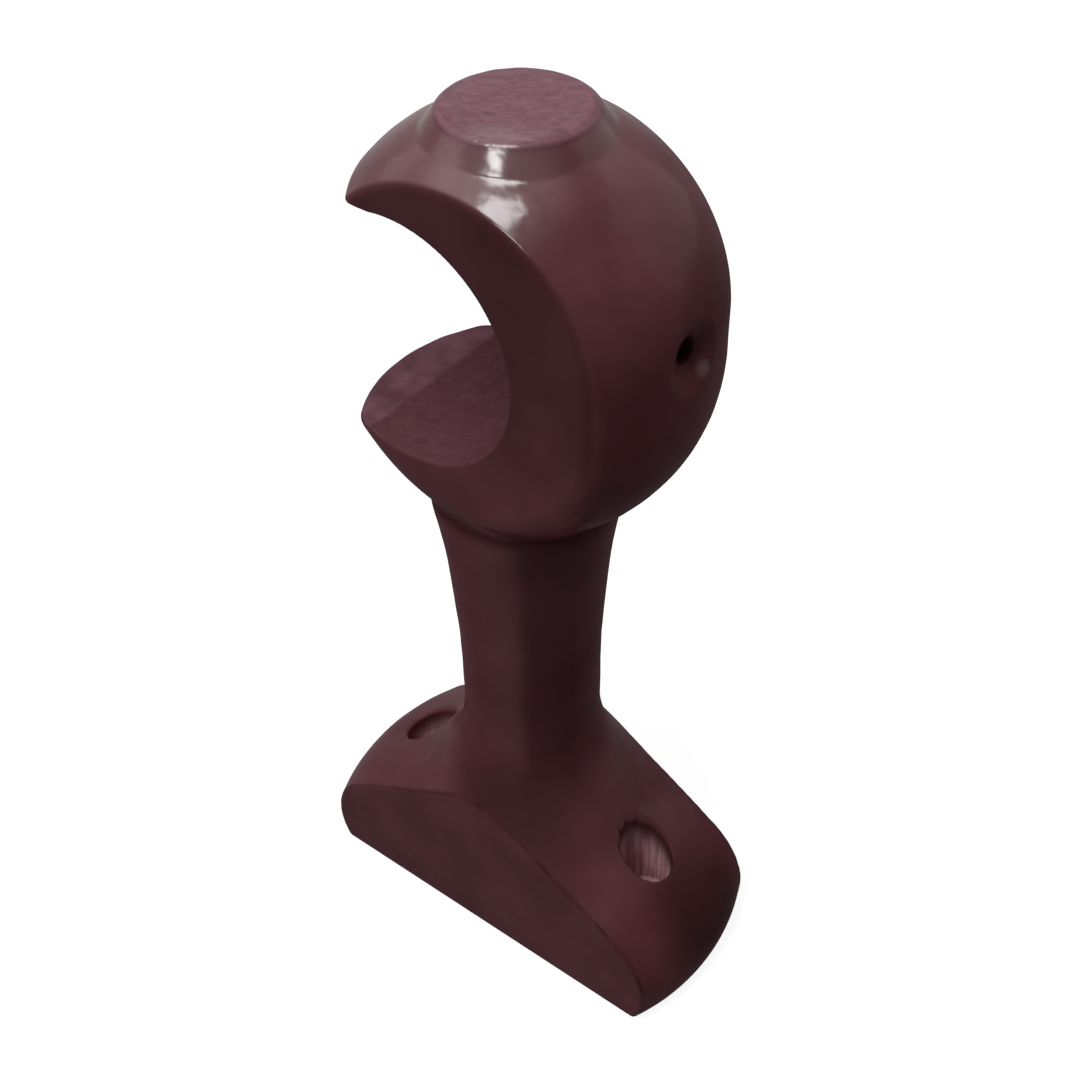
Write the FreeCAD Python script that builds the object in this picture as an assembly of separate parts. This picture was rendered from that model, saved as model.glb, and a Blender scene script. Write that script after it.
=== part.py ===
import FreeCAD, Part
import math
import os

# Curtain pole bracket, one piece of turned and sawn hardwood.
# Millimetres. +Z is the turning axis, from the wall face at Z = 0 out to the crown.
# The pole lies along Y in an open cup, whose mouth faces -X. The two flat sides face -Y and +Y.

# Pole and cup
pole_diameter = 28.0
cup_slack = 0.9
mouth_slack = 0.6
cup_centre_x = -7.2
cup_centre_z = 98.3
mouth_rise = 0.4

# Head, a turned ball with a short straight band round its middle
head_radius = 22.2
head_band = 5.2
head_centre_z = 97.5

# Crown, the small cone left at the end of the head, faced off flat
crown_foot_radius = 10.1
crown_top_radius = 8.0
crown_rise = 0.4

# Board that the blank was sawn from, which leaves the two flat sides
board_thickness = 25.0

# Neck
neck_radius = 9.0
neck_waist_top_z = 43.7
neck_inside_sides = 0.1

# Base, a bull-nosed disc that sweeps up into the neck
base_radius = 30.0
rim_round_radius = 11.5
rim_round_z = 5.1
shoulder_slope = 37.0
cove_radius = 23.7

# Two deep-sunk screw holes through the base, and the fixing screw's hole at the back of the cup
screw_spacing = 38.0
screw_hole_radius = 2.3
screw_head_radius = 3.5
screw_seat_z = 8.0
fixing_hole_z = 101.8
fixing_hole_radius = 1.5
fixing_sink_radius = 3.7
fixing_sink_depth = 1.5

# Sanded edge between the ball and the flat sides
head_edge_round = 0.8

# Sizes that follow from the ones above
cup_radius = pole_diameter / 2 + cup_slack
mouth_height = pole_diameter + mouth_slack
mouth_centre_z = cup_centre_z + mouth_rise
side_y = board_thickness / 2
crown_top_z = head_centre_z + head_band / 2 + head_radius + crown_rise
overall = 2 * (crown_top_z + base_radius)


def at(radius, height):
    return FreeCAD.Vector(radius, 0, height)


def head_radius_at(height):
    beyond = max(0.0, abs(height - head_centre_z) - head_band / 2)
    return math.sqrt(max(0.0, head_radius ** 2 - beyond ** 2))


# The neck flares until its top lies just inside the flat sides, where it meets the ball
upper_centre_z = head_centre_z + head_band / 2
lower_centre_z = head_centre_z - head_band / 2
neck_top_radius = side_y - neck_inside_sides
join_z = lower_centre_z - math.sqrt(head_radius ** 2 - neck_top_radius ** 2)
flare_rise = join_z - neck_waist_top_z
flare_spread = neck_top_radius - neck_radius
flare_radius = (flare_rise ** 2 + flare_spread ** 2) / (2 * flare_spread)
flare_middle_z = neck_waist_top_z + flare_rise / 2
flare_middle_radius = neck_radius + flare_radius - math.sqrt(flare_radius ** 2 - (flare_rise / 2) ** 2)

# Half outline of the turned blank, from the wall face up to the crown
slope = math.radians(shoulder_slope)
rim_centre_radius = base_radius - rim_round_radius
foot_radius = rim_centre_radius + math.sqrt(rim_round_radius ** 2 - rim_round_z ** 2)
shoulder_radius = rim_centre_radius + rim_round_radius * math.sin(slope)
shoulder_z = rim_round_z + rim_round_radius * math.cos(slope)
cove_foot_radius = neck_radius + cove_radius * (1 - math.sin(slope))
cove_foot_z = shoulder_z + (shoulder_radius - cove_foot_radius) * math.tan(slope)
cove_top_z = cove_foot_z + cove_radius * math.cos(slope)
cove_middle = (slope + math.pi / 2) / 2
cove_middle_radius = neck_radius + cove_radius * (1 - math.sin(cove_middle))
cove_middle_z = cove_top_z - cove_radius * math.cos(cove_middle)
crown_foot_z = upper_centre_z + math.sqrt(head_radius ** 2 - crown_foot_radius ** 2)
under_middle_radius = head_radius * math.cos(math.radians(30))
under_middle_z = lower_centre_z - head_radius * math.sin(math.radians(30))
over_middle_radius = head_radius * math.cos(math.radians(30))
over_middle_z = upper_centre_z + head_radius * math.sin(math.radians(30))

outline = [
    Part.makeLine(at(0, 0), at(foot_radius, 0)),
    Part.Arc(at(foot_radius, 0), at(base_radius, rim_round_z), at(shoulder_radius, shoulder_z)).toShape(),
    Part.makeLine(at(shoulder_radius, shoulder_z), at(cove_foot_radius, cove_foot_z)),
    Part.Arc(
        at(cove_foot_radius, cove_foot_z),
        at(cove_middle_radius, cove_middle_z),
        at(neck_radius, cove_top_z),
    ).toShape(),
    Part.makeLine(at(neck_radius, cove_top_z), at(neck_radius, neck_waist_top_z)),
    Part.Arc(
        at(neck_radius, neck_waist_top_z),
        at(flare_middle_radius, flare_middle_z),
        at(neck_top_radius, join_z),
    ).toShape(),
    Part.Arc(
        at(neck_top_radius, join_z),
        at(under_middle_radius, under_middle_z),
        at(head_radius, lower_centre_z),
    ).toShape(),
    Part.makeLine(at(head_radius, lower_centre_z), at(head_radius, upper_centre_z)),
    Part.Arc(
        at(head_radius, upper_centre_z),
        at(over_middle_radius, over_middle_z),
        at(crown_foot_radius, crown_foot_z),
    ).toShape(),
    Part.makeLine(at(crown_foot_radius, crown_foot_z), at(crown_top_radius, crown_top_z)),
    Part.makeLine(at(crown_top_radius, crown_top_z), at(0, crown_top_z)),
    Part.makeLine(at(0, crown_top_z), at(0, 0)),
]
wire = Part.Wire(Part.__sortEdges__(outline))
turned = Part.Face(wire).revolve(FreeCAD.Vector(0, 0, 0), FreeCAD.Vector(0, 0, 1), 360)

# The board's two faces cut the turned blank to its flat sides
board = Part.makeBox(
    2 * overall, board_thickness, 2 * overall, FreeCAD.Vector(-overall, -side_y, -overall)
)
body = turned.common(board).Solids[0]

# The turned ball's edges on the flat sides are sanded round
head_edges = []
for edge in body.Edges:
    on_side = all(abs(abs(point.y) - side_y) < 1e-4 for point in edge.discretize(5))
    if on_side and edge.BoundBox.ZMin > neck_waist_top_z:
        head_edges.append(edge)
body = body.makeFillet(head_edge_round, head_edges).Solids[0]

# Cup for the pole, bored across the board, and the mouth sawn and pared out to it
cup = Part.makeCylinder(
    cup_radius,
    2 * board_thickness,
    FreeCAD.Vector(cup_centre_x, -board_thickness, cup_centre_z),
    FreeCAD.Vector(0, 1, 0),
)
mouth = Part.makeBox(
    overall,
    2 * board_thickness,
    mouth_height,
    FreeCAD.Vector(cup_centre_x - overall, -board_thickness, mouth_centre_z - mouth_height / 2),
)
body = body.cut(cup.fuse(mouth)).Solids[0]

# Screw holes, straight down through the base, with the head sunk below the sloping shoulder
for side in (-1, 1):
    place = FreeCAD.Vector(side * screw_spacing / 2, 0, 0)
    shank = Part.makeCylinder(screw_hole_radius, 4 * shoulder_z, place + FreeCAD.Vector(0, 0, -shoulder_z))
    sink_height = screw_head_radius - screw_hole_radius
    sink = Part.makeCone(
        screw_hole_radius, screw_head_radius, sink_height, place + FreeCAD.Vector(0, 0, screw_seat_z - sink_height)
    )
    way_in = Part.makeCylinder(screw_head_radius, 4 * shoulder_z, place + FreeCAD.Vector(0, 0, screw_seat_z))
    body = body.cut(shank.fuse([sink, way_in]))

# Fixing screw's hole, from the back of the head along X into the cup
sink_mouth_x = head_radius_at(fixing_hole_z)
back_way = Part.makeCylinder(
    fixing_hole_radius, overall, FreeCAD.Vector(cup_centre_x, 0, fixing_hole_z), FreeCAD.Vector(1, 0, 0)
)
sink = Part.makeCone(
    fixing_hole_radius,
    fixing_sink_radius,
    fixing_sink_depth,
    FreeCAD.Vector(sink_mouth_x - fixing_sink_depth, 0, fixing_hole_z),
    FreeCAD.Vector(1, 0, 0),
)
flare = Part.makeCylinder(
    fixing_sink_radius, overall, FreeCAD.Vector(sink_mouth_x, 0, fixing_hole_z), FreeCAD.Vector(1, 0, 0)
)
body = body.cut(back_way.fuse([sink, flare]))
body = body.Solids[0]

os.makedirs("parts", exist_ok=True)
body.exportStep("parts/bracket.step")
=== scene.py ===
# %% [markdown]
# # A turned curtain pole bracket in dark lacquered wood
# The real bracket is one piece of hardwood. It is turned on a lathe as a ball on a waisted neck and a
# round base, out of a board 25 mm thick, so the board's two faces leave it flat at the front and back.
# The ball is then bored and sawn into an open cup for the pole, and the whole is stained and lacquered.
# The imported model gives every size. This file makes the fine surface around it, its finish and a studio.

import math

import bpy
import numpy as np
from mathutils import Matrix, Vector


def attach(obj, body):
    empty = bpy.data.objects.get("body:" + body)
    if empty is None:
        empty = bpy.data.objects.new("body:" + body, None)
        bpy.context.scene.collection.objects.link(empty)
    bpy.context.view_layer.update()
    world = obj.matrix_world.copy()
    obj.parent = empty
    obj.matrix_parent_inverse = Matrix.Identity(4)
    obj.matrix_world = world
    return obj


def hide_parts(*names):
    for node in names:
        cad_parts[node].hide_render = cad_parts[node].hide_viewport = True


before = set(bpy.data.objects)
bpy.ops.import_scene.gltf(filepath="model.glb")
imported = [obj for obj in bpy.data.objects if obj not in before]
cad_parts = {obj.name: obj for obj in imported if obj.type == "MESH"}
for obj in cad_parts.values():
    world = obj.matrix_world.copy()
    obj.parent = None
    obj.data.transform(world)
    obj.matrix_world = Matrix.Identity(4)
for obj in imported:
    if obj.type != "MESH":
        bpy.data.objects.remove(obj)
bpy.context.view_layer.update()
cad_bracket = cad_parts["bracket"]

# %% [markdown]
# ## The sizes of the blank
# The same numbers drew the solid model, in millimetres. The turning axis is Z, out from the wall. The pole
# lies along Y, and the cup opens towards -X. Keeping them here by name lets the fine surface follow the
# solid exactly, while its edges get the small rounds that sanding and lacquer leave.

# %% Sizes of the blank
head_radius = 22.2
head_band = 5.2
head_centre_z = 97.5
crown_foot_radius = 10.1
crown_top_radius = 8.0
crown_rise = 0.4
side_y = 12.5
neck_radius = 9.0
neck_top_radius = 12.4
neck_waist_top_z = 43.7
base_radius = 30.0
rim_round_radius = 11.5
rim_round_z = 5.1
shoulder_slope = math.radians(37.0)
cove_radius = 23.7
crown_top_z = head_centre_z + head_band / 2 + head_radius + crown_rise
print("height to the crown, mm:", round(crown_top_z, 2))

# %% [markdown]
# ## The turned outline as one curve
# A turner thinks of a spindle as a radius at each height, so that is how it is written: an arc for the rim,
# a straight shoulder, a hollow cove, the waist, a long flare, the ball and the small cone that is left of
# the stub between the lathe's centres. A Screw modifier would make the same form, but a formula can also
# say how far any point is from the surface, which the later steps need.

# %% Radius at each height
rim_centre_radius = base_radius - rim_round_radius
shoulder_radius = rim_centre_radius + rim_round_radius * math.sin(shoulder_slope)
shoulder_z = rim_round_z + rim_round_radius * math.cos(shoulder_slope)
cove_foot_radius = neck_radius + cove_radius * (1 - math.sin(shoulder_slope))
cove_foot_z = shoulder_z + (shoulder_radius - cove_foot_radius) * math.tan(shoulder_slope)
cove_top_z = cove_foot_z + cove_radius * math.cos(shoulder_slope)
ball_low_z = head_centre_z - head_band / 2
ball_high_z = head_centre_z + head_band / 2
join_z = ball_low_z - math.sqrt(head_radius**2 - neck_top_radius**2)
flare_rise = join_z - neck_waist_top_z
flare_spread = neck_top_radius - neck_radius
flare_radius = (flare_rise**2 + flare_spread**2) / (2 * flare_spread)
crown_foot_z = ball_high_z + math.sqrt(head_radius**2 - crown_foot_radius**2)


def root(value):
    return np.sqrt(np.maximum(value, 0))


def turned_radius(z):
    """Radius of the turned blank at each height, in millimetres."""
    rim = rim_centre_radius + root(rim_round_radius**2 - (z - rim_round_z) ** 2)
    shoulder = shoulder_radius - (z - shoulder_z) / math.tan(shoulder_slope)
    cove = neck_radius + cove_radius - root(cove_radius**2 - (cove_top_z - z) ** 2)
    flare = neck_radius + flare_radius - root(flare_radius**2 - (z - neck_waist_top_z) ** 2)
    beyond_band = np.maximum(np.abs(z - head_centre_z) - head_band / 2, 0)
    ball = root(head_radius**2 - beyond_band**2)
    up_cone = (z - crown_foot_z) / (crown_top_z - crown_foot_z)
    cone = crown_foot_radius + (crown_top_radius - crown_foot_radius) * up_cone
    ends = [shoulder_z, cove_foot_z, cove_top_z, neck_waist_top_z, join_z, crown_foot_z]
    parts = [rim, shoulder, cove, np.full_like(z, neck_radius), flare, ball]
    return np.select([z < end for end in ends], parts, cone)


print("radius at 5, 30, 60 and 97.5 mm:", turned_radius(np.array([5.0, 30.0, 60.0, 97.5])).round(2))

# %% [markdown]
# ## Creases softened by lacquer
# Where the neck meets the ball, and the ball meets the crown, the tool left a crease, and lacquer settles
# in it. A short moving average over the outline does the same: straight and gently curved stretches stay
# as they are, and only the corners soften, over 1.6 mm at the neck and 1 mm at the crown.

# %% Soften the creases
table_step = 0.05
table_margin = 3
table_z = np.arange(-table_margin, crown_top_z + table_margin, table_step)
sharp_radius = turned_radius(np.clip(table_z, 0, crown_top_z))
neck_crease = 1.6
crown_crease = 1.0


def moving_average(values, width):
    window = np.hanning(int(width / table_step) | 1)
    padded = np.pad(values, len(window) // 2, mode="edge")
    return np.convolve(padded, window / window.sum(), mode="valid")


def fade(value, start, end):
    """Goes smoothly from 0 at start to 1 at end."""
    t = np.clip((value - start) / (end - start), 0, 1)
    return t * t * (3 - 2 * t)


soft_radius = moving_average(sharp_radius, neck_crease)
crisp_radius = moving_average(sharp_radius, crown_crease)
up_the_head = fade(table_z, ball_low_z, ball_high_z)
table_radius = soft_radius + (crisp_radius - soft_radius) * up_the_head
print("outline points:", len(table_z))

# %% [markdown]
# ## The tuck under the head
# Where the gouge came down off the ball it ran a hair too deep, so the neck is tucked in just under the
# head, and slimmer over its upper part. Both are a quarter of a millimetre, which shows only as a soft dark
# line in the gloss. They go straight into the table of the outline, so no later step has to know of them.

# %% Tuck under the head
tuck_z = join_z - 1.6
tuck_depth = 0.25
tuck_half = 1.5
slimmer = 0.25
slim_from_z = 56
slim_full_z = 68
tuck = tuck_depth * np.exp(-(((table_z - tuck_z) / tuck_half) ** 2))
table_radius -= tuck + slimmer * fade(table_z, slim_from_z, slim_full_z) * fade(table_z, join_z, tuck_z)
table_lean = 1 / np.sqrt(1 + np.gradient(table_radius, table_step) ** 2)
print("height of the tuck, mm:", round(tuck_z, 2))

# %% [markdown]
# ## A surface written as a gap
# Each cut is a small function that gives the gap from a point to that cut: below zero inside the wood,
# above zero outside it. Two cuts meet with a rounded edge when the corner of their two gaps is replaced by
# a quarter circle, which is what sandpaper does. The edge radius may change along the piece: the sawn base
# is crisp, the ball's edges are rubbed soft, most of all under the head, and so are the cup's tips.

# %% Rounded meeting of two cuts
def meet(gap_a, gap_b, edge_radius):
    over_a = np.maximum(gap_a + edge_radius, 0)
    over_b = np.maximum(gap_b + edge_radius, 0)
    return np.minimum(np.maximum(gap_a, gap_b), -edge_radius) + np.hypot(over_a, over_b)


def turned_gap(x, y, z):
    radius = np.interp(z, table_z, table_radius)
    return (np.hypot(x, y) - radius) * np.interp(z, table_z, table_lean)


def board_gap(y):
    return np.abs(y) - side_y


# %% [markdown]
# ## Cup, mouth and holes
# The cup is bored across the board along Y, and the mouth is sawn and pared out to it in two flat faces,
# a little narrower than the bore, which leaves a straight low ridge where they meet. Two screw holes run
# down through the base with a wide way in for the head, and one small sunk hole comes in from the back of
# the ball for the screw that keeps the pole in place.

# %% Gaps of the cup and the holes
cup_centre_x = -7.2
cup_centre_z = 98.3
cup_radius = 14.9
mouth_half = 14.3
mouth_centre_z = 98.7
screw_x = 19.0
screw_hole_radius = 2.3
screw_head_radius = 3.5
screw_seat_z = 8.0
way_in_top_z = 40
fixing_z = 101.8
fixing_radius = 1.5
fixing_sink_radius = 3.7
fixing_sink_depth = 1.5
fixing_mouth_x = math.sqrt(head_radius**2 - (fixing_z - ball_high_z) ** 2)


def cup_gap(x, z):
    bore = cup_radius - np.hypot(x - cup_centre_x, z - cup_centre_z)
    faces = np.minimum(mouth_half - np.abs(z - mouth_centre_z), cup_centre_x - x)
    return np.maximum(bore, faces)


def screw_gap(x, y, z):
    way_in = np.clip(z - screw_seat_z + screw_head_radius, screw_hole_radius, screw_head_radius)
    return np.minimum(way_in - np.hypot(np.abs(x) - screw_x, y), way_in_top_z - z)


def fixing_gap(x, y, z):
    flare = (fixing_sink_radius - fixing_radius) / fixing_sink_depth
    sunk = fixing_sink_radius + (x - fixing_mouth_x) * flare
    way_in = np.clip(sunk, fixing_radius, fixing_sink_radius)
    return np.minimum(way_in - np.hypot(y, z - fixing_z), x - cup_centre_x)


print("width of the mouth, mm:", 2 * mouth_half)

# %% [markdown]
# ## Marks left by hands and tools
# A hand-sanded piece isn't geometric. Broad shallow waves on the turned surfaces break up the highlights,
# the sawn crown is torn end grain under the lacquer, and the screw holes have torn rims. Each is a depth
# taken off the surface, so nothing grows past the solid model's box. The waves are sums of plain sine waves
# in fixed directions, so each run gives the same ones. Finer marks, such as the rings that the bit left in
# the cup, are only two or three of the mesh's squares wide, so the material makes those.

# %% Depths of the marks
def waves(x, y, z, seed, shortest, longest, count):
    """A smooth uneven pattern from -1 to 1, with wavelengths in millimetres."""
    source = np.random.default_rng(seed)
    total = np.zeros_like(x)
    for _ in range(count):
        direction = source.normal(size=3)
        direction /= np.linalg.norm(direction)
        length = source.uniform(shortest, longest)
        phase = source.uniform(0, 2 * math.pi)
        along = direction[0] * x + direction[1] * y + direction[2] * z
        total += np.sin(2 * math.pi * along / length + phase)
    swing = 1.6 * math.sqrt(count)
    return np.clip(total / swing, -1, 1)


sanding_depth = 0.08
broad_share = 0.8
fine_share = 0.2
crown_tear_depth = 0.07
ridge_cos = 0.79
ridge_sin = 0.61


def crown_depth(x, y, z):
    """Torn end grain on the crown, in ridges a little longer than they are wide."""
    along, across = ridge_cos * x + ridge_sin * y, ridge_cos * y - ridge_sin * x
    torn = 0.5 + 0.5 * waves(0.7 * along, across, 0 * z, 8, 1.0, 2.4, 20)
    return crown_tear_depth * torn * fade(z, crown_top_z - 0.5, crown_top_z - 0.1)


def marks_depth(x, y, z):
    from_side = side_y - np.abs(y)
    broad = 0.5 + 0.5 * waves(x, y, z, 11, 3.5, 9.0, 10)
    fine = 0.5 + 0.5 * waves(x, y, z, 12, 1.6, 3.0, 12)
    sanding = (broad_share * broad + fine_share * fine) * fade(from_side, 0.3, 2.0)
    depth = sanding_depth * sanding * fade(z, 2, 6) * fade(crown_top_z - z, 0.2, 0.8)
    near_crown = z > crown_top_z - 1
    depth[near_crown] += crown_depth(x[near_crown], y[near_crown], z[near_crown])
    return depth


print("sanding waves and crown tears, mm:", sanding_depth, crown_tear_depth)


# %% Torn rims of the screw holes
rim_tear_depth = 0.30
tears_round = 11
tear_sway = 1.5


def rim_height(x, y):
    """Height of the sloping shoulder above a point of the wall face."""
    return shoulder_z + (shoulder_radius - np.hypot(x, y)) * math.tan(shoulder_slope)


def tear_gap(x, y, z):
    """Widens the rims of the screw holes where fibres tore out, on the side that faces the neck."""
    angle = np.arctan2(y, np.abs(x) - screw_x)
    torn = np.maximum(np.sin(tears_round * angle + tear_sway * np.sin(2 * angle)), 0)
    rim_z = rim_height(x, y)
    return torn * rim_tear_depth * fade(z, rim_z - 3, rim_z) * fade(-np.cos(angle), 0, 0.7)


print("shoulder above the screw holes, mm:", round(float(rim_height(screw_x, 0)), 2))

# %% [markdown]
# ## All cuts together
# The order is the maker's own: turn the blank, face its two ends, plane the board's sides, then bore the
# cup and drill the holes. Each meeting has its own edge radius, in millimetres.

# %% Edge radii
base_edge = 0.4
nick_share = 0.3
under_head_edge = 2.4
head_edge = 1.4
top_edge = 0.6
foot_edge = 0.4
crown_edge = 0.6
cup_edge = 0.45
tip_edge = 1.5
screw_edge = 0.8
fixing_edge = 1.4
base_end_z = 40
neck_middle_z = 60
side_edge_heights = [base_end_z, neck_middle_z, 82, 92, 100, 112]
side_edge_radii = [base_edge, under_head_edge, under_head_edge, head_edge, head_edge, top_edge]


def side_edge(x, y, z):
    """Radius along the flat sides' edges: nicked above the foot, soft under the head, crisp on top."""
    nicks = waves(x, 0 * y, z, 21, 1.5, 6.0, 8)
    nicked = base_edge * (1 + nick_share * nicks * fade(z, 1, 3))
    return np.where(z < base_end_z, nicked, np.interp(z, side_edge_heights, side_edge_radii))


print("edge radii from crisp to soft, mm:", base_edge, head_edge, under_head_edge)


# %% Gap of the whole bracket
def bracket_gap(points):
    x, y, z = points
    end_edge = foot_edge + (crown_edge - foot_edge) * fade(z, base_end_z, neck_middle_z)
    body = meet(turned_gap(x, y, z), np.maximum(-z, z - crown_top_z), end_edge)
    body = meet(body, board_gap(y), side_edge(x, y, z))
    wall_edge = cup_edge + (tip_edge - cup_edge) * fade(x, -11, -17)
    body = meet(body, cup_gap(x, z), wall_edge)
    body = meet(body, screw_gap(x, y, z) + tear_gap(x, y, z), screw_edge)
    body = meet(body, fixing_gap(x, y, z), fixing_edge)
    return body + marks_depth(x, y, z)


print("gap at the middle of the neck, mm:", bracket_gap(np.array([[0.0], [0.0], [60.0]])).round(2))

# %% [markdown]
# ## Gap and slope together
# The slope says which way the surface faces. Four probes at the corners of a tiny tetrahedron are enough to
# measure it, and their mean is the gap itself.

# %% Gap and slope
corners = np.array([[1, 1, 1], [1, -1, -1], [-1, 1, -1], [-1, -1, 1]], dtype=float)
probe = 0.02


def gap_and_slope(points):
    """Gap at each point, and the direction in which it grows, from four nearby probes."""
    gap = np.zeros(points.shape[1])
    slope = np.zeros_like(points)
    for corner in corners:
        value = bracket_gap(points + probe * corner[:, None])
        gap += value / len(corners)
        slope += value * corner[:, None] / (len(corners) * probe)
    return gap, slope


print("slope on the neck's right side:", gap_and_slope(np.array([[9.0], [0.0], [60.0]]))[1].T.round(2))

# %% [markdown]
# ## Pulling a mesh on to the surface
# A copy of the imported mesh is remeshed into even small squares. Each point is then pulled along the slope
# until its gap is nothing, with a little evening-out between pulls. Booleans and bevels could make the same
# edges, but they leave slivers where a round runs into a curved surface, and gloss shows every sliver.

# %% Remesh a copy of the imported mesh
voxel = 0.30
copy_mesh = cad_bracket.data.copy()
bracket = bpy.data.objects.new("turned_bracket", copy_mesh)
bpy.context.scene.collection.objects.link(bracket)
remesh = bracket.modifiers.new("even squares", "REMESH")
remesh.mode = "VOXEL"
remesh.voxel_size = voxel / 1000
shown = bracket.evaluated_get(bpy.context.evaluated_depsgraph_get())
even_mesh = bpy.data.meshes.new_from_object(shown)
bracket.modifiers.clear()
bracket.data = even_mesh
print("even squares:", len(even_mesh.polygons))

# %% Pull it on to the surface
count = len(even_mesh.vertices)
flat = np.empty(count * 3)
even_mesh.vertices.foreach_get("co", flat)
points = flat.reshape(-1, 3).T * 1000
pairs = np.empty(len(even_mesh.edges) * 2, dtype=np.int64)
even_mesh.edges.foreach_get("vertices", pairs)
start, end = pairs.reshape(-1, 2).T
neighbours = np.bincount(start, minlength=count) + np.bincount(end, minlength=count)


def neighbour_mean(values):
    rows = []
    for row in values:
        total = np.bincount(start, row[end], count) + np.bincount(end, row[start], count)
        rows.append(total / neighbours)
    return np.array(rows)


longest_step = 0.6
least_slope = 0.2
evening_out = 0.5


def pull(points, times):
    for _ in range(times):
        gap, slope = gap_and_slope(points)
        steep = np.maximum((slope**2).sum(0), least_slope)
        points = points - np.clip(gap, -longest_step, longest_step) / steep * slope
    return points


points = pull(points, 4)
for _ in range(5):
    points = points + evening_out * (neighbour_mean(points) - points)
    points = pull(points, 1)
points = pull(points, 2)
print("largest gap left, mm:", np.abs(gap_and_slope(points)[0]).max().round(4))
even_mesh.vertices.foreach_set("co", (points.T / 1000).ravel())
even_mesh.update()

# %% [markdown]
# ## Fewer triangles where it is plain
# The flats and the neck don't need as many triangles as the edges. Collapsing keeps the ones that carry
# shape. Each point then gets the slope of the formula as its normal, so the gloss stays smooth.

# %% Thin out and set the normals
most_triangles = 190000
fewer = bracket.modifiers.new("thin out", "DECIMATE")
fewer.ratio = min(1.0, most_triangles / (2 * len(even_mesh.polygons)))
shown = bracket.evaluated_get(bpy.context.evaluated_depsgraph_get())
fine_mesh = bpy.data.meshes.new_from_object(shown)
bracket.modifiers.clear()
bracket.data = fine_mesh
flat = np.empty(len(fine_mesh.vertices) * 3)
fine_mesh.vertices.foreach_get("co", flat)
points = pull(flat.reshape(-1, 3).T * 1000, 2)
fine_mesh.vertices.foreach_set("co", (points.T / 1000).ravel())
fine_mesh.update()
slope = gap_and_slope(points)[1]
normals = slope / np.linalg.norm(slope, axis=0)
fine_mesh.shade_smooth()
fine_mesh.normals_split_custom_set_from_vertices(normals.T.tolist())
print("triangles:", sum(len(face.vertices) - 2 for face in fine_mesh.polygons))

# %% [markdown]
# ## Where each kind of cut shows
# Lacquer looks different on end grain, on a bored wall and in a rough hole than on the sanded ball. Each
# point keeps how much it belongs to each cut, from 0 to 1, and the material reads these. Masks painted in
# an image would need unwrapping, and the formula knows the cuts exactly.

# %% Keep the kind of cut at each point
def keep(name, amount):
    attribute = fine_mesh.attributes.new(name, "FLOAT", "POINT")
    attribute.data.foreach_set("value", amount.astype(np.float32))


x, y, z = points
in_cup = fade(cup_gap(x, z), -0.4, -0.1)
down_the_hole = fade(rim_height(x, y) - z, 1.0, 6.5)
ridge_x = cup_centre_x - math.sqrt(cup_radius**2 - (mouth_half - mouth_centre_z + cup_centre_z) ** 2)
keep("crown_face", fade(z, crown_top_z - 0.6, crown_top_z - 0.2))
keep("cup_wall", in_cup)
# Deeper in the screw holes the wall takes a pale colour, which is partly painted light
keep("hole_wall", fade(screw_gap(x, y, z), -0.3, 0) * down_the_hole)
keep("mouth_face", in_cup * fade(-x, -ridge_x - 0.3, -ridge_x + 0.3))
front_rings = 0.25
ring_strength = front_rings + (1 - front_rings) * fade(y, -4, 4)
keep("bored_back", in_cup * fade(x, -12, -7) * ring_strength)
print("ridge between bore and mouth at x, mm:", round(ridge_x, 2))

# %% [markdown]
# ## Where shade is painted into the colour
# Shade is painted into the colour in several places. It darkens the crease under the head and a thin uneven
# line along the edges of the base. It also darkens the head's sawn sides, a band up the right front of the
# neck, and a few patches where the piece lies in shade. The triangles on the flat sides are long, so nothing
# that is kept there changes quickly near the edge, or it would show as streaks.

# %% Places and bands
def distance_to(place):
    """Distance from each point to a place, in millimetres."""
    return np.sqrt(sum((axis - middle) ** 2 for axis, middle in zip((x, y, z), place)))


on_turned = 1 - fade(board_gap(y), -0.6, -0.15)
off_flat = 1 - fade(board_gap(y), -0.2, -0.04)
crease_half = 1.3
in_crease = np.exp(-(((z - tuck_z) / crease_half) ** 2)) * on_turned
from_edge = np.maximum(-board_gap(y), -turned_gap(x, y, z))
along_edge = fade(from_edge, 0.65, 0.3) * fade(z, 36, 32) * fade(z, 1.0, 3.0) * off_flat
up_the_neck = fade(z, 20, 34) * fade(z, 82, 74) * on_turned
around = np.degrees(np.arctan2(y, x))
print("points on the turned surface:", int((on_turned > 0.5).sum()))

# %% Painted shade
# Painted shade: how dark the crease, the base's edges, the neck's band and the head's sawn sides are made
crease_shade = 0.55
edge_shade = 0.8
neck_band_shade = 0.45
sawn_side_shade = 0.55
# Patches of painted shade: middle in mm, reach in mm, and how dark
shade_patches = {
    "end of the base": ((28, 2, 11), 12, 0.75),
    "foot of the neck": ((4, -11, 25), 13, 0.6),
    "low on the ball": ((17, -10, 89), 4, 0.3),
    "middle of the ball": ((13, -13, 105), 11, 0.22),
}
uneven = 0.6 + 0.4 * waves(x, y, z, 31, 2.0, 8.0, 8)
neck_shade_band = up_the_neck * fade(around, -67, -50) * fade(around, 10, -25)
sawn_head = fade(z, 84, 96) * (1 - on_turned)
painted_shade_amount = np.clip(crease_shade * in_crease + edge_shade * uneven * along_edge, 0, 1)
painted_shade_amount = np.maximum(painted_shade_amount, neck_band_shade * neck_shade_band)
painted_shade_amount = np.maximum(painted_shade_amount, sawn_side_shade * sawn_head)
for patch_middle, patch_reach, amount in shade_patches.values():
    near = fade(distance_to(patch_middle), patch_reach, 0.3 * patch_reach)
    painted_shade_amount = np.maximum(painted_shade_amount, amount * near * on_turned)
# The painted shade, kept at each point
keep("painted_shade", painted_shade_amount)
print("darker patches:", list(shade_patches))

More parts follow.
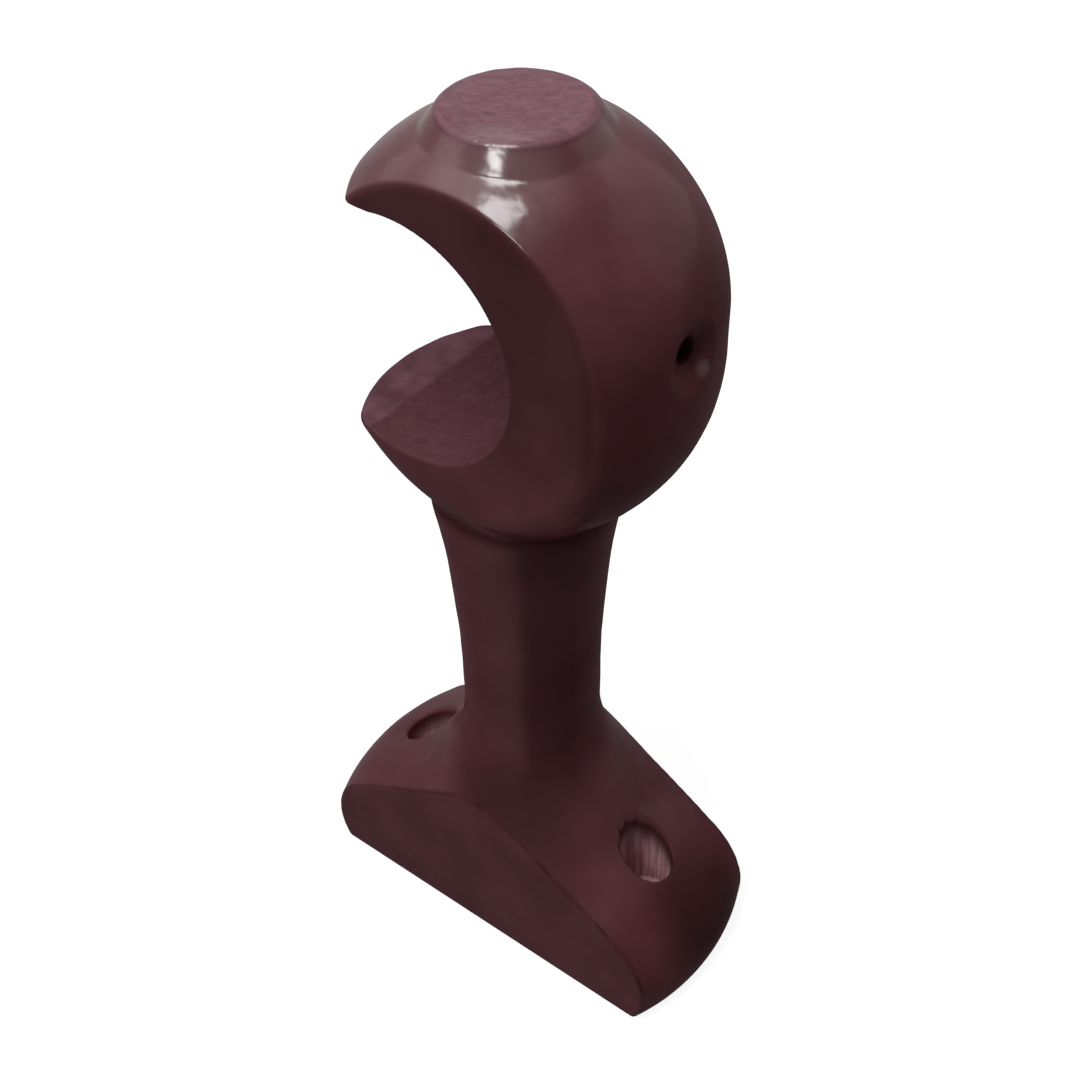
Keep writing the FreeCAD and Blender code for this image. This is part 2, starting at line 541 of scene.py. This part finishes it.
# %% [markdown]
# ## How thick the film lies
# Lacquer runs before it sets. Here it gathered on the head's top and most of all in front of the crown's
# cone, which is why the light shows in small bright patches there and hardly anywhere else. The upper side
# of the base and a strip down the neck have a little, and one drip hangs by the fixing screw's hole. The
# film is thinner on the crown's rim, where it was sanded, and its weight is lowered under the head, so
# that the crease stays a soft dark line. The numbers are weights of the coat.

# %% Film
flat_film = 0.06
turned_film = 0.03
head_film = 0.33
flow_film = 0.65
mouth_side_film = 0.12
thinner_behind = 0.45
base_film = 0.09
neck_film = 0.06
drip_film = 0.35
rim_rubbed = 0.3
crease_lowered = 0.8
flow_middle = (5, -11, 119.5)
drip_middle = (21.8, 2.0, 99.0)
on_head = head_film * (1 - thinner_behind * fade(x, 5, 13))
on_head += flow_film * fade(distance_to(flow_middle), 9.5, 4.5) + mouth_side_film * fade(-x, 2, 8)
film = flat_film + (turned_film - flat_film) * on_turned
film += on_head * fade(z, 102, 124) * on_turned
film += base_film * fade(z, 34, 22) * fade(x, 24, 16) * on_turned
film += drip_film * fade(distance_to(drip_middle), 1.3, 0.4)
film += neck_film * up_the_neck * fade(around, -100, -72) * fade(around, -50, -68)
crown_rim = fade(z, crown_top_z - 0.9, crown_top_z - 0.5)
crown_rim *= fade(np.hypot(x, y), crown_top_radius - 0.9, crown_top_radius - 0.4)
film *= (1 - rim_rubbed * crown_rim) * (1 - crease_lowered * in_crease)
keep("gloss", np.clip(film, 0, 1))
print("thickest film:", film.max().round(2))

# %% [markdown]
# ## The finish: dark gloss lacquer on hardwood
# The wood is a close-grained hardwood such as beech. It is stained and sprayed with a tinted gloss lacquer
# the colour of old mahogany, which hides nearly all the grain: what the eye gets is a deep red-brown, with
# small bright patches where the film is thick. One Principled shader does both. Its coat is the film, with
# the IOR of polyurethane lacquer, 1.55, and how thick it lies is the coat's weight. The stained wood under
# it scatters light with no sheen of its own, so its specular level is 0, which keeps the dark red from
# turning grey under a white sky. Colours are written as they look on a screen.

# %% Helpers for materials
def colour(hex_value):
    """A screen colour such as #43262b, as linear light."""
    channels = [int(hex_value[i : i + 2], 16) / 255 for i in (1, 3, 5)]
    linear = [c / 12.92 if c <= 0.04045 else ((c + 0.055) / 1.055) ** 2.4 for c in channels]
    return (*linear, 1.0)


def add(tree, kind, inputs=None, **settings):
    """Adds a node. An input is a value, an output socket, or a node, whose first output is used."""
    node = tree.nodes.new(kind)
    for name, value in settings.items():
        setattr(node, name, value)
    for name, value in (inputs or {}).items():
        if isinstance(value, bpy.types.Node):
            value = next(output for output in value.outputs if output.enabled)
        if isinstance(value, bpy.types.NodeSocket):
            tree.links.new(value, node.inputs[name])
        else:
            node.inputs[name].default_value = value
    return node


def new_material(name):
    material = bpy.data.materials.new(name)
    material.use_nodes = True
    material.node_tree.nodes.clear()
    return material, material.node_tree


def per_metre(millimetres):
    """The scale at which a noise texture has features of this size."""
    return 1000 / millimetres


print("scale for 2 mm features:", per_metre(2))

# %% [markdown]
# ## Patterns in the wood and the film
# Each pattern follows a real size. The fibres run along Z, about 0.6 mm wide and 10 mm long. Stain takes
# unevenly in clouds of about 11 mm, and on the pared faces of the mouth in blotches of 4 mm. Torn end grain
# lies in short ridges 0.75 mm wide across the crown, the bit left rings 0.7 mm apart in the cup, and the
# sprayed film has an orange-peel skin of about 2 mm. All of them are made in the piece's own space, so they
# need no unwrapping, and the pattern runs through edges as real wood does.

# %% Read the kinds of cut
lacquer, tree = new_material("tinted gloss lacquer on beech")
place = add(tree, "ShaderNodeTexCoord").outputs["Object"]
crown_face = add(tree, "ShaderNodeAttribute", attribute_name="crown_face").outputs["Fac"]
cup_wall = add(tree, "ShaderNodeAttribute", attribute_name="cup_wall").outputs["Fac"]
mouth_face = add(tree, "ShaderNodeAttribute", attribute_name="mouth_face").outputs["Fac"]
hole_wall = add(tree, "ShaderNodeAttribute", attribute_name="hole_wall").outputs["Fac"]
gloss = add(tree, "ShaderNodeAttribute", attribute_name="gloss").outputs["Fac"]
# The painted shade, read at each point
painted_shade = add(tree, "ShaderNodeAttribute", attribute_name="painted_shade").outputs["Fac"]
bored_back = add(tree, "ShaderNodeAttribute", attribute_name="bored_back").outputs["Fac"]
print("kinds of cut read:", len([node for node in tree.nodes if node.type == "ATTRIBUTE"]))

# %% Fibres, clouds and blotches
fibre_width = 0.6
fibre_stretch = (1, 1, 16)
cloud_width = 11
blotch_width = 4.0
fibre_space = {"Vector": place, "Scale": fibre_stretch}
along_grain = add(tree, "ShaderNodeMapping", fibre_space, vector_type="TEXTURE")
fibre_look = {"Vector": along_grain, "Scale": per_metre(fibre_width), "Detail": 4.0, "Roughness": 0.6}
fibres = add(tree, "ShaderNodeTexNoise", fibre_look)
clouds = add(tree, "ShaderNodeTexNoise", {"Vector": place, "Scale": per_metre(cloud_width), "Detail": 2.0})
blotch_look = {"Vector": place, "Scale": per_metre(blotch_width), "Detail": 3.0}
blotches = add(tree, "ShaderNodeTexNoise", blotch_look)
print("fibres, clouds and blotches, mm:", fibre_width, cloud_width, blotch_width)

# %% Tears, orange peel and rings
tear_width = 0.75
peel_width = 2.0
ring_step = 0.7
ridge_turn = (0, 0, math.radians(37.7))
ridge_look = {"Vector": place, "Rotation": ridge_turn, "Scale": (1.5, 1, 1)}
along_ridges = add(tree, "ShaderNodeMapping", ridge_look, vector_type="TEXTURE")
tear_look = {"Vector": along_ridges, "Scale": per_metre(tear_width), "Detail": 3.0, "Distortion": 0.8}
tears = add(tree, "ShaderNodeTexNoise", tear_look)
peel = add(tree, "ShaderNodeTexNoise", {"Vector": place, "Scale": per_metre(peel_width), "Detail": 1.5})
# A wave texture of scale 1 repeats every 0.314 units
wave_repeat = 0.314
wave_scale = wave_repeat * per_metre(ring_step)
ring_look = {"Vector": place, "Scale": wave_scale, "Distortion": 1.2, "Detail Scale": 0.5}
rings = add(tree, "ShaderNodeTexWave", ring_look, bands_direction="Y")
print("tears, peel and rings, mm:", tear_width, peel_width, ring_step)

# %% [markdown]
# ## Colour of each cut
# The turned and planed faces are an even red-brown, nearly black where shade is painted in. End grain and
# the bores soak the film in and stay paler and greyer, most of all the screw holes, where the spray hardly
# reaches. The screw holes' pale walls are partly painted light as well: the sheen of torn fibres and the
# light that falls deep inside.
# The faces of the mouth were pared with a chisel, which leaves them a little paler than the bored wall.

# %% Colours
lacquer_dark = colour("#4b262b")
lacquer_light = colour("#573036")
# Nearly black, for the painted shade
painted_shade_colour = colour("#2a1416")
bored_dark = colour("#4a2b31")
bored_light = colour("#56353c")
end_grain = colour("#6c4551")
cut_wood = colour("#56343e")
mouth_dark = colour("#4d3138")
mouth_light = colour("#61414a")
# Screw hole walls: paler raw wood, and also painted light, the sheen of torn fibres and light deep inside
hole_wood_sheen_dark = colour("#a8747f")
hole_wood_sheen_pale = colour("#dcb4bc")

# %% Share of each colour
cloud_share = add(tree, "ShaderNodeMapRange", {"Value": clouds, "From Min": 0.35, "From Max": 0.65})
blotch_share = add(tree, "ShaderNodeMapRange", {"Value": blotches, "From Min": 0.35, "From Max": 0.65})
grain_share = add(tree, "ShaderNodeMapRange", {"Value": fibres, "From Min": 0.3, "From Max": 0.7})
tear_share = add(tree, "ShaderNodeMapRange", {"Value": tears, "From Min": 0.3, "From Max": 0.7})
turned = add(tree, "ShaderNodeMix", {0: cloud_share, 6: lacquer_dark, 7: lacquer_light}, data_type="RGBA")
# The painted shade darkens the turned colour
turned = add(tree, "ShaderNodeMix", {0: painted_shade, 6: turned, 7: painted_shade_colour}, data_type="RGBA")
crown = add(tree, "ShaderNodeMix", {0: tear_share, 6: cut_wood, 7: end_grain}, data_type="RGBA")
bored = add(tree, "ShaderNodeMix", {0: tear_share, 6: bored_dark, 7: bored_light}, data_type="RGBA")
pared = add(tree, "ShaderNodeMix", {0: blotch_share, 6: mouth_dark, 7: mouth_light}, data_type="RGBA")
# Raw wood in the screw holes, with painted sheen on its streaks
hole_wood_and_sheen = add(tree, "ShaderNodeMix", {0: grain_share, 6: hole_wood_sheen_dark, 7: hole_wood_sheen_pale}, data_type="RGBA")
print("nodes so far:", len(tree.nodes))

# %% Colour over the whole piece
wood = add(tree, "ShaderNodeMix", {0: crown_face, 6: turned, 7: crown}, data_type="RGBA")
wood = add(tree, "ShaderNodeMix", {0: cup_wall, 6: wood, 7: bored}, data_type="RGBA")
wood = add(tree, "ShaderNodeMix", {0: mouth_face, 6: wood, 7: pared}, data_type="RGBA")
wood = add(tree, "ShaderNodeMix", {0: hole_wall, 6: wood, 7: hole_wood_and_sheen}, data_type="RGBA")
print("turned colour, linear:", [round(channel, 3) for channel in lacquer_dark[:3]])

# %% [markdown]
# ## Roughness and relief
# The wood is smoother on the turned faces and rougher where it was cut across. The height of each pattern
# goes through one bump node, in tenths of a millimetre. Bump is enough here, because the marks are too
# fine to change the outline.

# %% Roughness
rougher_cut = 0.2
rough_cut = add(tree, "ShaderNodeMath", {0: cup_wall, 1: hole_wall}, operation="MAXIMUM")
rough_cut = add(tree, "ShaderNodeMath", {0: crown_face, 1: rough_cut}, operation="MAXIMUM")
rough_range = {"Value": clouds, "From Min": 0.3, "From Max": 0.7, "To Min": 0.34, "To Max": 0.42}
rough_turned = add(tree, "ShaderNodeMapRange", rough_range)
rough_extra = add(tree, "ShaderNodeMath", {0: rough_cut, 1: rougher_cut}, operation="MULTIPLY")
roughness = add(tree, "ShaderNodeMath", {0: rough_turned, 1: rough_extra}, operation="ADD")
print("roughness from", rough_range["To Min"], "to", rough_range["To Max"] + rougher_cut)

# %% Relief
fibre_relief = 0.02
peel_relief = 1.1
torn_relief = 1.6
ring_relief = 2.2
torn_in_cup = 0.35
torn_cup = add(tree, "ShaderNodeMath", {0: cup_wall, 1: torn_in_cup}, operation="MULTIPLY")
torn_cut = add(tree, "ShaderNodeMath", {0: torn_cup, 1: hole_wall}, operation="MAXIMUM")
torn_cut = add(tree, "ShaderNodeMath", {0: torn_cut, 1: crown_face}, operation="MAXIMUM")
torn_height = add(tree, "ShaderNodeMath", {0: tears, 1: torn_cut}, operation="MULTIPLY")
ring_height = add(tree, "ShaderNodeMath", {0: rings.outputs["Fac"], 1: bored_back}, operation="MULTIPLY")
peel_height = add(tree, "ShaderNodeMath", {0: peel, 1: peel_relief}, operation="MULTIPLY")
height = add(tree, "ShaderNodeMath", {0: fibres, 1: fibre_relief, 2: peel_height}, operation="MULTIPLY_ADD")
height = add(tree, "ShaderNodeMath", {0: torn_height, 1: torn_relief, 2: height}, operation="MULTIPLY_ADD")
height = add(tree, "ShaderNodeMath", {0: ring_height, 1: ring_relief, 2: height}, operation="MULTIPLY_ADD")
bump = add(tree, "ShaderNodeBump", {"Height": height, "Strength": 0.6, "Distance": 0.0001})
print("relief of tears and rings, tenths of a millimetre:", torn_relief, ring_relief)

# %% Shader
shader_inputs = {
    "Base Color": wood,
    "Roughness": roughness,
    "IOR": 1.5,
    "Specular IOR Level": 0.0,
    "Coat Weight": gloss,
    "Coat Roughness": 0.18,
    "Coat IOR": 1.55,
    "Normal": bump,
    "Coat Normal": bump,
}
surface = add(tree, "ShaderNodeBsdfPrincipled", shader_inputs)
add(tree, "ShaderNodeOutputMaterial", {"Surface": surface})
fine_mesh.materials.clear()
fine_mesh.materials.append(lacquer)
print("nodes in the lacquer:", len(tree.nodes))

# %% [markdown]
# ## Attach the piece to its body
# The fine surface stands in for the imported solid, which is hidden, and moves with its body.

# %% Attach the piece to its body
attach(bracket, "root")
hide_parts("bracket")
print("piece:", bracket.name)

# %% [markdown]
# ## White surroundings
# The picture has a pure white ground. The floor is pale and takes the soft shadow. For rays from the camera
# and for reflections it also gives off light, a little less than white beside the piece, where the shadow
# has to show, and quite white further out, so that no horizon shows from the side. The sky does the same,
# and the light that falls on the wood stays at a plain level.

# %% Floor
floor_mesh = bpy.data.meshes.new("floor")
reach = 4.0
floor_corners = [(-reach, -reach, 0), (reach, -reach, 0), (reach, reach, 0), (-reach, reach, 0)]
floor_mesh.from_pydata(floor_corners, [], [(0, 1, 2, 3)])
floor = bpy.data.objects.new("floor", floor_mesh)
bpy.context.scene.collection.objects.link(floor)
just_under = 0.00005
floor.location.z = -just_under
print("floor reaches", reach, "m each way")


# %% Paper on the floor
def seen_directly(tree):
    """1 for rays from the camera and for reflections and refractions, 0 for diffuse light."""
    path = add(tree, "ShaderNodeLightPath").outputs
    seen = path["Is Camera Ray"]
    for name in ("Is Glossy Ray", "Is Transmission Ray"):
        seen = add(tree, "ShaderNodeMath", {0: seen, 1: path[name]}, operation="MAXIMUM")
    return seen


paper, tree = new_material("matt white paper sweep")
lighting = add(tree, "ShaderNodeBsdfDiffuse", {"Color": colour("#b0b0b0")})
shaded = add(tree, "ShaderNodeBsdfDiffuse", {"Color": colour("#828282")})
from_piece = add(tree, "ShaderNodeTexCoord").outputs["Object"]
from_piece = add(tree, "ShaderNodeVectorMath", {0: from_piece}, operation="LENGTH").outputs["Value"]
whiten = {"Value": from_piece, "From Min": 0.15, "From Max": 0.6, "To Min": 0.88, "To Max": 1.0}
whiter = add(tree, "ShaderNodeMapRange", whiten)
lift = add(tree, "ShaderNodeEmission", {"Color": colour("#ffffff"), "Strength": whiter})
shown_paper = add(tree, "ShaderNodeAddShader", {0: shaded, 1: lift})
either = add(tree, "ShaderNodeMixShader", {0: seen_directly(tree), 1: lighting, 2: shown_paper})
add(tree, "ShaderNodeOutputMaterial", {"Surface": either})
floor_mesh.materials.append(paper)
print("whitens from", whiten["From Min"], "to", whiten["From Max"], "m")

# %% Sky
room_strength = 0.03
sky = bpy.data.worlds.new("white studio")
bpy.context.scene.world = sky
sky.use_nodes = True
tree = sky.node_tree
tree.nodes.clear()
room = add(tree, "ShaderNodeBackground", {"Color": colour("#ffffff"), "Strength": room_strength})
white = add(tree, "ShaderNodeBackground", {"Color": colour("#ffffff"), "Strength": 1.0})
either = add(tree, "ShaderNodeMixShader", {0: seen_directly(tree), 1: room, 2: white})
add(tree, "ShaderNodeOutputWorld", {"Surface": either})
print("light from the sky on the wood:", room_strength)

# %% [markdown]
# ## Window lights
# The small bright patches on the crown's cone and on the ball come from one tall window in two panes, high
# in front. Area lamps of the right angular size give the patches their size, which point lamps can't. Four
# weaker lamps fill in: two on the left for the base and the flat sides, one on the right for the ball's far
# edge, and one behind for the top of the crown.

# %% Lamps
head_middle = Vector((0.0, 0.0, 0.11))


def window_light(name, azimuth, elevation, distance, width, height, watts):
    """A soft lamp that faces the head. Azimuth 0 is along +X and 90 along +Y, sizes are in metres."""
    turn, lift = math.radians(azimuth), math.radians(elevation)
    flat_part = math.cos(lift)
    away = Vector((math.cos(turn) * flat_part, math.sin(turn) * flat_part, math.sin(lift)))
    data = bpy.data.lights.new(name, "AREA")
    data.shape = "RECTANGLE"
    data.size = width
    data.size_y = height
    data.energy = watts
    lamp = bpy.data.objects.new(name, data)
    lamp.location = head_middle + distance * away
    lamp.rotation_euler = (-away).to_track_quat("-Z", "Y").to_euler()
    lamp.visible_camera = False
    bpy.context.scene.collection.objects.link(lamp)


window_light("upper pane", -94, 69, 0.4, 0.14, 0.20, 1.25)
window_light("lower pane", -84, 42, 0.4, 0.10, 0.05, 0.38)
window_light("left window", -165, 48, 0.42, 0.5, 0.5, 0.90)
window_light("low window", -150, 5, 0.45, 0.25, 0.25, 0.15)
window_light("back window", 95, 60, 0.25, 0.25, 0.25, 0.10)
window_light("right window", 60, 25, 0.3, 0.3, 0.3, 0.36)

# %% [markdown]
# ## Camera
# The camera looks down from the front right, close enough for some perspective. Its place, turn and lens
# come from matching the bracket's known outline to the picture.

# %% Camera
view = bpy.data.cameras.new("camera")
view.sensor_width = 36.0
view.lens = 54.185
view.clip_start = 0.01
camera = bpy.data.objects.new("camera", view)
camera.location = (0.091234, -0.114087, 0.197749)
camera.rotation_euler = [math.radians(angle) for angle in (47.7371, 0.802, 37.3793)]
bpy.context.scene.collection.objects.link(camera)
bpy.context.scene.camera = camera
bpy.context.scene.view_settings.view_transform = "Standard"
print("camera to bracket, mm:", round(1000 * math.dist(camera.location, (0, 0, 0.06))))
